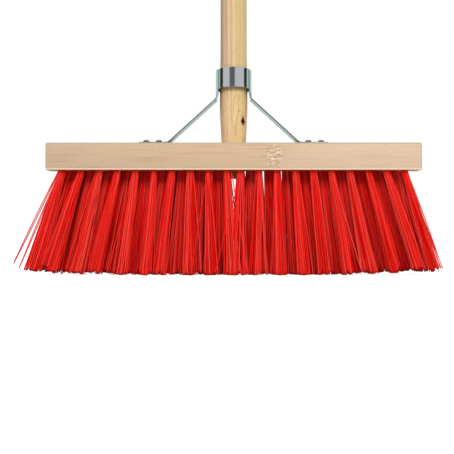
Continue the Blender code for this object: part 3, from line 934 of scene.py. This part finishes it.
def drilled_block():
    block = plain_block()
    holes = bmesh.new()
    for tufts in rows.values():
        for root, lean in tufts:
            slope = lean / lean.z
            add_rod(holes, HOLE_RADIUS, root - slope * CUT_OVERRUN, root + slope * HOLE_DEPTH)
    for mouth in foot_screws(block_high.z):
        add_rod(holes, PILOT_RADIUS, mouth - UP * PILOT_DEPTH, mouth + UP * CUT_OVERRUN)
    boolean(block, add_object("holes", finished_mesh("holes", holes)), "DIFFERENCE")
    bore = [
        (0, top_along + NECK_RISE),
        (HANDLE_SWELL_RADIUS + FIT, top_along + NECK_RISE),
        (HANDLE_NECK_RADIUS + FIT, top_along),
        (HANDLE_TIP_RADIUS + FIT, tip_along),
        (0, tip_along),
    ]
    bore_tool = add_object("bore", turned_mesh("bore", bore, HANDLE_SIDES, on_handle))
    boolean(block, bore_tool, "DIFFERENCE")
    return block


finish_piece(drilled_block(), "block")

# %% [markdown]
# ## The stay
#
# The stay is sheet steel: a rolled ring, and two strips that leave it at its sides, kick out at
# the knee and lie flat on the block. A strip curls round the ring, so its outside catches the light
# as the ring's does, and it is flat from the knee down. The handle leans and the block doesn't, so
# the press folds each strip a little askew, most of it at the ankle, and the camera sees a sliver
# of its underside. A strip is lofted through its stations as a ribbon, and Solidify and Bevel then
# give it the sheet's thickness and its dressed edges.

# %% Bend the stay's arms
RING_BORE_RADIUS = 0.0170
RING_THICKNESS = 0.0015
RING_HEIGHT = 0.022
RING_RISE = 0.0695
RING_SIDES = 160
RING_EDGE = 0.0003
ARM_WIDTH = 0.018
ARM_THICKNESS = 0.0013
ARM_SINK = 0.0003
ARM_TOP_DROP = 0.0008
ARM_EDGE = 0.00015
ARM_EDGE_STEPS = 3
ARM_EDGE_ANGLE = math.radians(50)
KNEE_RISE = 0.0480
ANKLE_REACH = 0.0695
TOE_REACH = 0.102
TOE_ROUND = 0.004
TOE_STEPS = 6
BEND_REACH = 0.0035
BEND_STEPS = 8
KNEE_CURL = 0.45
KNEE_LEAN_SHARE = 0.2
CURL_STEPS = 2

handle_turn = on_handle.to_3x3()
bend_shares = [step / BEND_STEPS for step in range(BEND_STEPS + 1)]
ring_along = top_along + RING_RISE
ring_across = HANDLE_SWELL_RADIUS + FIT - RING_BORE_RADIUS
ring_outer_radius = RING_BORE_RADIUS + RING_THICKNESS
arm_reach = ring_outer_radius - ARM_SINK + ARM_THICKNESS / 2
foot_height = block_high.z + FIT + ARM_THICKNESS / 2


def rounded_corner(before, corner, after):
    start = corner + (before - corner).normalized() * BEND_REACH
    end = corner + (after - corner).normalized() * BEND_REACH
    return [start.lerp(corner, t).lerp(corner.lerp(end, t), t) for t in bend_shares]


def arm_stations(hand):
    """(Middle, direction across, curl) of the strip at each station, from the ring to the toe."""
    square = handle_turn @ BACK
    top, rim, knee = (
        on_handle @ Vector((hand * arm_reach, ring_across, along)) for along in (
            ring_along + RING_HEIGHT / 2 - ARM_TOP_DROP,
            ring_along - RING_HEIGHT / 2,
            top_along + KNEE_RISE,
        )
    )
    ankle = Vector((hand * ANKLE_REACH, block_middle.y, foot_height))
    toe = Vector((hand * TOE_REACH, block_middle.y, foot_height))
    knee_fold = rounded_corner(top, knee, ankle)
    ankle_fold = rounded_corner(knee, ankle, toe)
    stations = [(top, square, 1), (rim, square, 1)]
    for place, t in zip(knee_fold, bend_shares):
        stations.append((place, square.lerp(BACK, KNEE_LEAN_SHARE * t), KNEE_CURL * (1 - t)))
    for place, t in zip(ankle_fold, bend_shares):
        share = KNEE_LEAN_SHARE + (1 - KNEE_LEAN_SHARE) * t
        stations.append((place, square.lerp(BACK, share), 0))
    return stations + [(toe, BACK, 0)]


def arm_section(hand, middle, across, curl):
    """Points across the strip. A curl of 1 follows the ring, and one of 0 is flat."""
    inward = handle_turn @ Vector((-hand, 0, 0))
    across = across.normalized()
    points = []
    for step in range(-CURL_STEPS, CURL_STEPS + 1):
        turn = step / CURL_STEPS * ARM_WIDTH / 2 / arm_reach
        flat = across * arm_reach * turn
        curled = across * arm_reach * math.sin(turn) + inward * arm_reach * (1 - math.cos(turn))
        points.append(middle + flat.lerp(curled, curl))
    return points


def arms_mesh():
    bm = bmesh.new()
    for hand in (-1, 1):
        ribs = [
            [bm.verts.new(point) for point in arm_section(hand, *station)]
            for station in arm_stations(hand)
        ]
        for rib, next_rib in zip(ribs, ribs[1:]):
            for k in range(2 * CURL_STEPS):
                bm.faces.new((rib[k], rib[k + 1], next_rib[k + 1], next_rib[k]))
        corners = [ribs[-1][0], ribs[-1][-1]]
        bmesh.ops.bevel(
            bm, geom=corners, offset=TOE_ROUND, segments=TOE_STEPS, profile=0.5, affect="VERTICES"
        )
    bmesh.ops.recalc_face_normals(bm, faces=bm.faces)
    return finished_mesh("arms", bm)


def ring_profile():
    """The ring's section, with its four edges eased."""
    half = RING_HEIGHT / 2
    outer, inner = ring_outer_radius, RING_BORE_RADIUS
    return [
        (inner, half - RING_EDGE), (inner + RING_EDGE, half), (outer - RING_EDGE, half),
        (outer, half - RING_EDGE), (outer, RING_EDGE - half), (outer - RING_EDGE, -half),
        (inner + RING_EDGE, -half), (inner, RING_EDGE - half), (inner, half - RING_EDGE),
    ]


def steel_stay():
    stay = add_object("steel_stay", arms_mesh(), bright_zinc)
    sheet = stay.modifiers.new("sheet", "SOLIDIFY")
    sheet.thickness = ARM_THICKNESS
    sheet.offset = 0
    sheet.use_even_offset = True
    edges = stay.modifiers.new("rolled_edges", "BEVEL")
    edges.width = ARM_EDGE
    edges.segments = ARM_EDGE_STEPS
    edges.limit_method = "ANGLE"
    edges.angle_limit = ARM_EDGE_ANGLE
    applied(stay)
    ring_place = on_handle @ Matrix.Translation((0, ring_across, ring_along))
    ring = add_object("ring", turned_mesh("ring", ring_profile(), RING_SIDES, ring_place))
    boolean(stay, ring, "UNION")
    return stay


finish_piece(steel_stay(), "stay")

# %% [markdown]
# ## The screws
#
# Four pan head screws hold the feet, and one more goes through the back of the ring into the
# handle. They are alike, so Geometry Nodes set one modelled screw on five points. Each point
# carries the direction that its screw faces, and a turn, because no two cross recesses end at
# the same angle.

# %% Model one screw
SCREW_LENGTH = 0.016
SCREW_POINT = 0.003
SCREW_SIDES = 32
SHANK_RADIUS = 0.0018
HEAD_RADIUS = 0.0034
HEAD_HEIGHT = 0.0023
RECESS_REACH = 0.0019
RECESS_WIDTH = 0.0007
RECESS_DEPTH = 0.0011
# Outline of the domed head, as shares of its radius and its height
HEAD_SHARES = (
    (0, 1), (0.3, 0.98), (0.55, 0.91), (0.75, 0.79), (0.9, 0.6), (0.98, 0.36), (1, 0.2), (0.97, 0),
)


def pan_head_screw():
    profile = [(HEAD_RADIUS * out, HEAD_HEIGHT * up) for out, up in HEAD_SHARES]
    profile += [(SHANK_RADIUS, 0), (SHANK_RADIUS, SCREW_POINT - SCREW_LENGTH), (0, -SCREW_LENGTH)]
    screw = add_object("one_screw", turned_mesh("one_screw", profile, SCREW_SIDES))
    for reach in ((RECESS_REACH, RECESS_WIDTH / 2), (RECESS_WIDTH / 2, RECESS_REACH)):
        bm = bmesh.new()
        top = Matrix.Translation(UP * HEAD_HEIGHT)
        bmesh.ops.create_cube(bm, size=2, matrix=top @ Matrix.Diagonal((*reach, RECESS_DEPTH, 1)))
        boolean(screw, add_object("slot", finished_mesh("slot", bm)), "DIFFERENCE")
    return screw


one_screw = pan_head_screw()
print("one screw has", len(one_screw.data.polygons), "faces")


# %% Set the screws with Geometry Nodes
SCREW_SEED = 5


def new_tree(name, sockets):
    """A Geometry Nodes tree with named inputs. Returns it and each input's identifier."""
    tree = bpy.data.node_groups.new(name, "GeometryNodeTree")
    known = {}
    for label, kind in sockets:
        socket = tree.interface.new_socket(name=label, in_out="INPUT", socket_type=kind)
        known[label] = socket.identifier
    tree.interface.new_socket(name="Geometry", in_out="OUTPUT", socket_type="NodeSocketGeometry")
    return tree, known


def screw_tree():
    tree, known = new_tree("screws_on_points", (
        ("Seats", "NodeSocketGeometry"), ("Screw", "NodeSocketObject"),
        ("Material", "NodeSocketMaterial"),
    ))
    given = add_node(tree, "NodeGroupInput").outputs
    facing = add_node(tree, "GeometryNodeInputNamedAttribute", {
        "Name": "facing",
    }, data_type="FLOAT_VECTOR")
    turn = add_node(tree, "GeometryNodeInputNamedAttribute", {"Name": "turn"}, data_type="FLOAT")
    spun = add_node(tree, "ShaderNodeCombineXYZ", {"Z": turn.outputs["Attribute"]})
    aligned = add_node(tree, "FunctionNodeAlignRotationToVector", {
        "Vector": facing.outputs["Attribute"],
    }, axis="Z")
    rotation = add_node(tree, "FunctionNodeRotateRotation", {
        "Rotation": aligned.outputs["Rotation"], "Rotate By": spun.outputs[0],
    }, rotation_space="LOCAL")
    model = add_node(tree, "GeometryNodeObjectInfo", {"Object": given["Screw"]})
    placed = add_node(tree, "GeometryNodeInstanceOnPoints", {
        "Points": given["Seats"], "Instance": model.outputs["Geometry"],
        "Rotation": rotation.outputs[0],
    })
    real = add_node(tree, "GeometryNodeRealizeInstances", {"Geometry": placed.outputs[0]})
    dressed = add_node(tree, "GeometryNodeSetMaterial", {
        "Geometry": real.outputs[0], "Material": given["Material"],
    })
    add_node(tree, "NodeGroupOutput", {"Geometry": dressed.outputs[0]})
    return tree, known


def points_mesh(name, places, attributes):
    """Loose points that carry attributes: name to (type, one value for each point)."""
    mesh = bpy.data.meshes.new(name)
    mesh.from_pydata([tuple(place) for place in places], [], [])
    for label, (kind, values) in attributes.items():
        field = mesh.attributes.new(label, kind, "POINT")
        for item, value in zip(field.data, values):
            if kind == "FLOAT_VECTOR":
                item.vector = value
            else:
                item.value = value
    return mesh


def grown(piece, tree, known, values):
    """Runs a Geometry Nodes tree on a piece and keeps its result as the plain mesh."""
    modifier = piece.modifiers.new(tree.name, "NODES")
    modifier.node_group = tree
    for label, value in values.items():
        modifier[known[label]] = value
    applied(piece).name = piece.name
    return piece


def all_screws():
    seats = foot_screws(foot_height + ARM_THICKNESS / 2 + FIT)
    seats.append(on_handle @ Vector((0, ring_across + ring_outer_radius + FIT, ring_along)))
    facing = [UP] * 4 + [handle_turn @ BACK]
    chance = random.Random(SCREW_SEED)
    turns = [chance.uniform(0, math.pi) for _ in seats]
    base = points_mesh("screw_seats", seats, {
        "facing": ("FLOAT_VECTOR", facing), "turn": ("FLOAT", turns),
    })
    tree, known = screw_tree()
    return grown(add_object("pan_head_screws", base), tree, known, {
        "Screw": one_screw, "Material": screw_zinc,
    })


screws = all_screws()
bpy.data.objects.remove(one_screw)
finish_piece(
    screws, "screw_left_inner", "screw_left_outer", "screw_right_inner", "screw_right_outer",
    "screw_ring",
)

# %% [markdown]
# ## The bristles
#
# A tuft is about 60 filaments that leave one drilled hole as a tight round bundle and fan out to
# the ground. Drawing 4,300 of them by hand is out of the question, so a tree of Geometry Nodes
# grows them from the tufts' roots. Inside a tuft, strand after strand turns by the golden angle,
# as seeds do in a sunflower, which fills a circle evenly at the root and at the tip. That keeps
# the strands in order, so they don't cross. A few random numbers then add what a used brush shows:
# tips that stray and a slight bow. The blade that trims a brush leaves its ends rising and falling
# every few millimetres, so a noise read at each tip takes a little off the strand's length.

# %% Grow the bristles with Geometry Nodes
STRANDS_PER_TUFT = 58
STRAND_THICKNESS = 0.00106
STRAND_SIDES = 6
STRAND_STATIONS = 5
STRAND_SHARP_ANGLE = math.radians(65)
ROOT_REACH = (0.0035, 0.0048, 0.0048, 0.0043)
TIP_REACH_ALONG = (0.0066, 0.0108, 0.0108, 0.0104)
TIP_REACH_ACROSS = 0.0080
TIP_STRAY = 0.0026
# The least and the most that a strand strays, before the cube makes great ones rare
STRAY_SIZES = (0.3, 1.35)
# Share of its length that the shortest strand lacks, and how far apart long and short ones are
TIP_RAGGED = 0.042
TRIM_PATCH = 0.0030
# Where on the noise the blade starts to take something off, and where it takes the most
TRIM_LEVELS = (0.46, 0.63)
STRAND_BOW = 0.0009
LEFT_LOOSENESS = 1.2
RIGHT_LOOSENESS = 0.85
MIDDLE_LOOSENESS = 1.4
# How far use has bent each tuft of the front row along the block, in millimetres at its tip
FRONT_BENT = (-3, -6, 0, -5, 3, 4, -3, 6, 7, 7, -5, -7, -4, -2, -3, 0, 1, 4, 7, 3)
# Where each stray strand in front leaves the block and ends, in millimetres from the middle
FRONT_STRAYS = (
    (-186, -236), (-185, -231), (-185, -227), (-184, -225), (-143, -151), (-107, -134), (-44, -35),
    (-28, -46), (-27, -16), (-5, 3), (-3, 9), (4, -2), (8, -17), (9, 12), (27, 35), (104, 131),
)
ROW_BENT = 0.004
# Three inner tufts right of the middle are thinner, and daylight shows beside them
THIN_TUFTS = slice(9, 12)
THIN_STRANDS = 44
HIDDEN_SHARE = 0.05
FLOOR_CLEARANCE = 0.0002
GOLDEN_ANGLE = math.pi * (3 - math.sqrt(5))


def bristle_tree():
    tree, known = new_tree("tufts_of_bristles", (
        ("Roots", "NodeSocketGeometry"), ("Full Tuft", "NodeSocketInt"),
        ("Thickness", "NodeSocketFloat"), ("Root Reach", "NodeSocketFloat"),
        ("Tip Reach", "NodeSocketVector"), ("Stray", "NodeSocketVector"),
        ("Length", "NodeSocketFloat"), ("Ragged", "NodeSocketFloat"), ("Bow", "NodeSocketFloat"),
        ("Seed", "NodeSocketInt"), ("Material", "NodeSocketMaterial"),
    ))
    given = add_node(tree, "NodeGroupInput").outputs
    points = add_node(tree, "GeometryNodeMeshToPoints", {"Mesh": given["Roots"]})
    amount = add_node(tree, "GeometryNodeInputNamedAttribute", {"Name": "strands"}, data_type="INT")
    many = add_node(tree, "GeometryNodeDuplicateElements", {
        "Geometry": points.outputs[0], "Amount": amount.outputs["Attribute"],
    }, domain="POINT")
    lean = add_node(tree, "GeometryNodeInputNamedAttribute", {
        "Name": "lean",
    }, data_type="FLOAT_VECTOR")
    phase = add_node(tree, "GeometryNodeInputNamedAttribute", {"Name": "phase"}, data_type="FLOAT")
    loose = add_node(tree, "GeometryNodeInputNamedAttribute", {"Name": "loose"}, data_type="FLOAT")

    # Where in the bundle: turn by the golden angle, out by the square root of the number
    angle = add_node(tree, "ShaderNodeMath", {
        0: many.outputs["Duplicate Index"], 1: GOLDEN_ANGLE, 2: phase.outputs["Attribute"],
    }, operation="MULTIPLY_ADD").outputs[0]
    number = add_node(tree, "ShaderNodeMath", {
        0: many.outputs["Duplicate Index"], 1: 0.5,
    }).outputs[0]
    share = add_node(tree, "ShaderNodeMath", {
        0: number, 1: given["Full Tuft"],
    }, operation="DIVIDE").outputs[0]
    out = add_node(tree, "ShaderNodeMath", {0: share}, operation="SQRT").outputs[0]
    seat = add_node(tree, "ShaderNodeVectorMath", {
        0: add_node(tree, "ShaderNodeCombineXYZ", {
            "X": add_node(tree, "ShaderNodeMath", {0: angle}, operation="COSINE").outputs[0],
            "Y": add_node(tree, "ShaderNodeMath", {0: angle}, operation="SINE").outputs[0],
        }).outputs[0],
        "Scale": out,
    }, operation="SCALE").outputs[0]
    root_offset = add_node(tree, "ShaderNodeVectorMath", {
        0: seat, "Scale": given["Root Reach"],
    }, operation="SCALE").outputs[0]
    tip_offset = add_node(tree, "ShaderNodeVectorMath", {
        0: seat, 1: given["Tip Reach"],
    }, operation="MULTIPLY").outputs[0]
    tip_offset = add_node(tree, "ShaderNodeVectorMath", {
        0: tip_offset, "Scale": loose.outputs["Attribute"],
    }, operation="SCALE").outputs[0]

    # A few strands stray far and most hardly at all: a random direction times a cubed random size
    direction = add_node(tree, "FunctionNodeRandomValue", {
        0: (-1, -1, 0), 1: (1, 1, 0), "Seed": given["Seed"],
    }, data_type="FLOAT_VECTOR").outputs[0]
    size = add_node(tree, "FunctionNodeRandomValue", {
        2: STRAY_SIZES[0], 3: STRAY_SIZES[1],
        "Seed": add_node(tree, "ShaderNodeMath", {0: given["Seed"], 1: 1}).outputs[0],
    }, data_type="FLOAT").outputs[1]
    cubed = add_node(tree, "ShaderNodeMath", {0: size, 1: 3}, operation="POWER").outputs[0]
    stray = add_node(tree, "ShaderNodeVectorMath", {
        0: add_node(tree, "ShaderNodeVectorMath", {
            0: direction, 1: given["Stray"],
        }, operation="MULTIPLY").outputs[0],
        "Scale": cubed,
    }, operation="SCALE").outputs[0]
    reach = add_node(tree, "ShaderNodeVectorMath", {
        0: add_node(tree, "ShaderNodeVectorMath", {
            0: lean.outputs["Attribute"], 1: tip_offset,
        }).outputs[0],
        1: root_offset,
    }, operation="SUBTRACT").outputs[0]
    # All strands have nearly one length, so the further one leans, the less it drops
    tip = add_node(tree, "ShaderNodeVectorMath", {
        0: add_node(tree, "GeometryNodeInputPosition").outputs[0], 1: reach,
    }).outputs[0]
    tip = add_node(tree, "ShaderNodeVectorMath", {
        0: tip, 1: (1 / TRIM_PATCH, 0, 0),
    }, operation="MULTIPLY").outputs[0]
    trim = add_node(tree, "ShaderNodeTexNoise", {
        "Vector": tip, "Scale": 1.0, "Detail": 2.0,
    }).outputs["Fac"]
    missing = add_node(tree, "ShaderNodeMapRange", {
        "Value": trim, "From Min": TRIM_LEVELS[0], "From Max": TRIM_LEVELS[1],
        "To Max": given["Ragged"],
    }).outputs["Result"]
    left = add_node(tree, "ShaderNodeMath", {0: 1.0, 1: missing}, operation="SUBTRACT").outputs[0]
    length = add_node(tree, "ShaderNodeMath", {
        0: given["Length"], 1: left,
    }, operation="MULTIPLY").outputs[0]
    sides = add_node(tree, "ShaderNodeSeparateXYZ", {"Vector": reach}).outputs
    squared = add_node(tree, "ShaderNodeMath", {0: sides["X"], 1: 2}, operation="POWER").outputs[0]
    drop = add_node(tree, "ShaderNodeMath", {
        0: add_node(tree, "ShaderNodeMath", {
            0: length, 1: 2,
        }, operation="POWER").outputs[0], 1: squared,
    }, operation="SUBTRACT").outputs[0]
    drop = add_node(tree, "ShaderNodeMath", {0: drop}, operation="SQRT").outputs[0]
    downwards = add_node(tree, "ShaderNodeMath", {
        0: drop, 1: -1.0,
    }, operation="MULTIPLY").outputs[0]
    reach = add_node(tree, "ShaderNodeCombineXYZ", {
        "X": sides["X"], "Y": sides["Y"], "Z": downwards,
    }).outputs[0]
    reach = add_node(tree, "ShaderNodeVectorMath", {0: reach, 1: stray}).outputs[0]
    bow = add_node(tree, "FunctionNodeRandomValue", {
        0: (-1, -1, 0), 1: (1, 1, 0),
        "Seed": add_node(tree, "ShaderNodeMath", {0: given["Seed"], 1: 2}).outputs[0],
    }, data_type="FLOAT_VECTOR").outputs[0]
    bow = add_node(tree, "ShaderNodeVectorMath", {
        0: bow, "Scale": given["Bow"],
    }, operation="SCALE").outputs[0]
    shade = add_node(tree, "FunctionNodeRandomValue", {
        "Seed": add_node(tree, "ShaderNodeMath", {0: given["Seed"], 1: 3}).outputs[0],
    }, data_type="FLOAT").outputs[1]

    # Each point keeps what its strand needs, because the strand is drawn only later
    root = add_node(tree, "ShaderNodeVectorMath", {
        0: add_node(tree, "GeometryNodeInputPosition").outputs[0], 1: root_offset,
    }).outputs[0]
    kept = many.outputs["Geometry"]
    for label, kind, value in (
        ("root", "FLOAT_VECTOR", root), ("reach", "FLOAT_VECTOR", reach),
        ("bow", "FLOAT_VECTOR", bow), ("shade", "FLOAT", shade),
    ):
        kept = add_node(tree, "GeometryNodeStoreNamedAttribute", {
            "Geometry": kept, "Name": label, "Value": value,
        }, data_type=kind, domain="POINT").outputs[0]

    # One short line for each strand, then each line is stretched from its root to its tip
    line = add_node(tree, "GeometryNodeCurvePrimitiveLine", {"End": (0, 0, 1)})
    stations = add_node(tree, "GeometryNodeResampleCurve", {
        "Curve": line.outputs[0], "Count": STRAND_STATIONS,
    })
    placed = add_node(tree, "GeometryNodeInstanceOnPoints", {
        "Points": kept, "Instance": stations.outputs[0],
    })
    real = add_node(tree, "GeometryNodeRealizeInstances", {"Geometry": placed.outputs[0]})
    along = add_node(tree, "GeometryNodeSplineParameter").outputs["Factor"]
    marked = add_node(tree, "GeometryNodeStoreNamedAttribute", {
        "Geometry": real.outputs[0], "Name": "along", "Value": along,
    }, data_type="FLOAT", domain="POINT")
    from_hole = add_node(tree, "ShaderNodeMapRange", {
        "Value": along, "To Min": -HIDDEN_SHARE, "To Max": 1.0,
    })
    fields = {
        label: add_node(tree, "GeometryNodeInputNamedAttribute", {
            "Name": label,
        }, data_type="FLOAT_VECTOR").outputs[0]
        for label in ("root", "reach", "bow")
    }
    straight = add_node(tree, "ShaderNodeVectorMath", {
        0: fields["reach"], 1: from_hole.outputs["Result"], 2: fields["root"],
    }, operation="MULTIPLY_ADD").outputs[0]
    swing = add_node(tree, "ShaderNodeMath", {
        0: add_node(tree, "ShaderNodeMath", {
            0: along, 1: math.pi,
        }, operation="MULTIPLY").outputs[0],
    }, operation="SINE").outputs[0]
    bowed = add_node(tree, "ShaderNodeVectorMath", {
        0: fields["bow"], 1: swing, 2: straight,
    }, operation="MULTIPLY_ADD")
    above_floor = add_node(tree, "ShaderNodeVectorMath", {
        0: bowed.outputs[0], 1: (-1, -1, FLOOR_CLEARANCE),
    }, operation="MAXIMUM")
    shaped = add_node(tree, "GeometryNodeSetPosition", {
        "Geometry": marked.outputs[0], "Position": above_floor.outputs[0],
    })
    radius = add_node(tree, "ShaderNodeMath", {0: given["Thickness"], 1: 0.5}, operation="MULTIPLY")
    section = add_node(tree, "GeometryNodeCurvePrimitiveCircle", {
        "Resolution": STRAND_SIDES, "Radius": radius.outputs[0],
    })
    strands = add_node(tree, "GeometryNodeCurveToMesh", {
        "Curve": shaped.outputs[0], "Profile Curve": section.outputs[0], "Fill Caps": True,
    })
    dressed = add_node(tree, "GeometryNodeSetMaterial", {
        "Geometry": strands.outputs[0], "Material": given["Material"],
    })
    ends = add_node(tree, "GeometryNodeRealizeInstances", {"Geometry": dressed.outputs[0]})
    add_node(tree, "NodeGroupOutput", {"Geometry": ends.outputs[0]})
    return tree, known


tree, known = bristle_tree()
replaced = {
    "front_bristles": [f"tuft_front_{k:02d}" for k in range(1, 2 * TUFTS_PER_SIDE + 1)],
    "back_bristles": [f"tuft_back_{k:02d}" for k in range(1, 2 * TUFTS_PER_SIDE + 1)],
    "inner_front_bristles": ["tufts_inner_front_left", "tufts_inner_front_right"],
    "inner_back_bristles": ["tufts_inner_back_left", "tufts_inner_back_right"],
}
for seed, (name, row) in enumerate(rows.items(), start=1):
    chance = random.Random(seed)
    bent = [mm / 1000 for mm in FRONT_BENT]
    if name != "front_bristles":
        bent = [chance.uniform(-ROW_BENT, ROW_BENT) for _ in row]
    tufts = [(root, hang(lean.x + extra, lean.y)) for (root, lean), extra in zip(row, bent)]
    strands = [STRANDS_PER_TUFT] * len(tufts)
    if name.startswith("inner"):
        strands[THIN_TUFTS] = [THIN_STRANDS] * len(strands[THIN_TUFTS])
    loose = [LEFT_LOOSENESS] + [1.0] * (len(tufts) - 2) + [RIGHT_LOOSENESS]
    loose[len(loose) // 2 - 1] = loose[len(loose) // 2] = MIDDLE_LOOSENESS
    if name == "front_bristles":
        for start, end in FRONT_STRAYS:
            root = Vector((start / 1000, row[0][0].y - ROOT_REACH[0], block_low.z))
            tufts.append((root, hang((end - start) / 1000, row[0][1].y - TIP_REACH_ACROSS)))
            strands.append(1)
            loose.append(1.0)
    base = points_mesh(name, [root for root, _ in tufts], {
        "lean": ("FLOAT_VECTOR", [lean for _, lean in tufts]),
        "phase": ("FLOAT", [chance.uniform(0, math.tau) for _ in tufts]),
        "strands": ("INT", strands),
        "loose": ("FLOAT", loose),
    })
    bristles = grown(add_object(name, base), tree, known, {
        "Full Tuft": STRANDS_PER_TUFT,
        "Thickness": STRAND_THICKNESS,
        "Root Reach": ROOT_REACH[seed - 1],
        "Tip Reach": (TIP_REACH_ALONG[seed - 1], TIP_REACH_ACROSS, 0.0),
        "Stray": (TIP_STRAY, TIP_STRAY, 0.0),
        "Length": FILAMENT_LENGTH,
        "Ragged": TIP_RAGGED,
        "Bow": STRAND_BOW,
        "Seed": seed * 10,
        "Material": filament,
    })
    smoothed(bristles.data, STRAND_SHARP_ANGLE)
    finish_piece(bristles, *replaced[name])
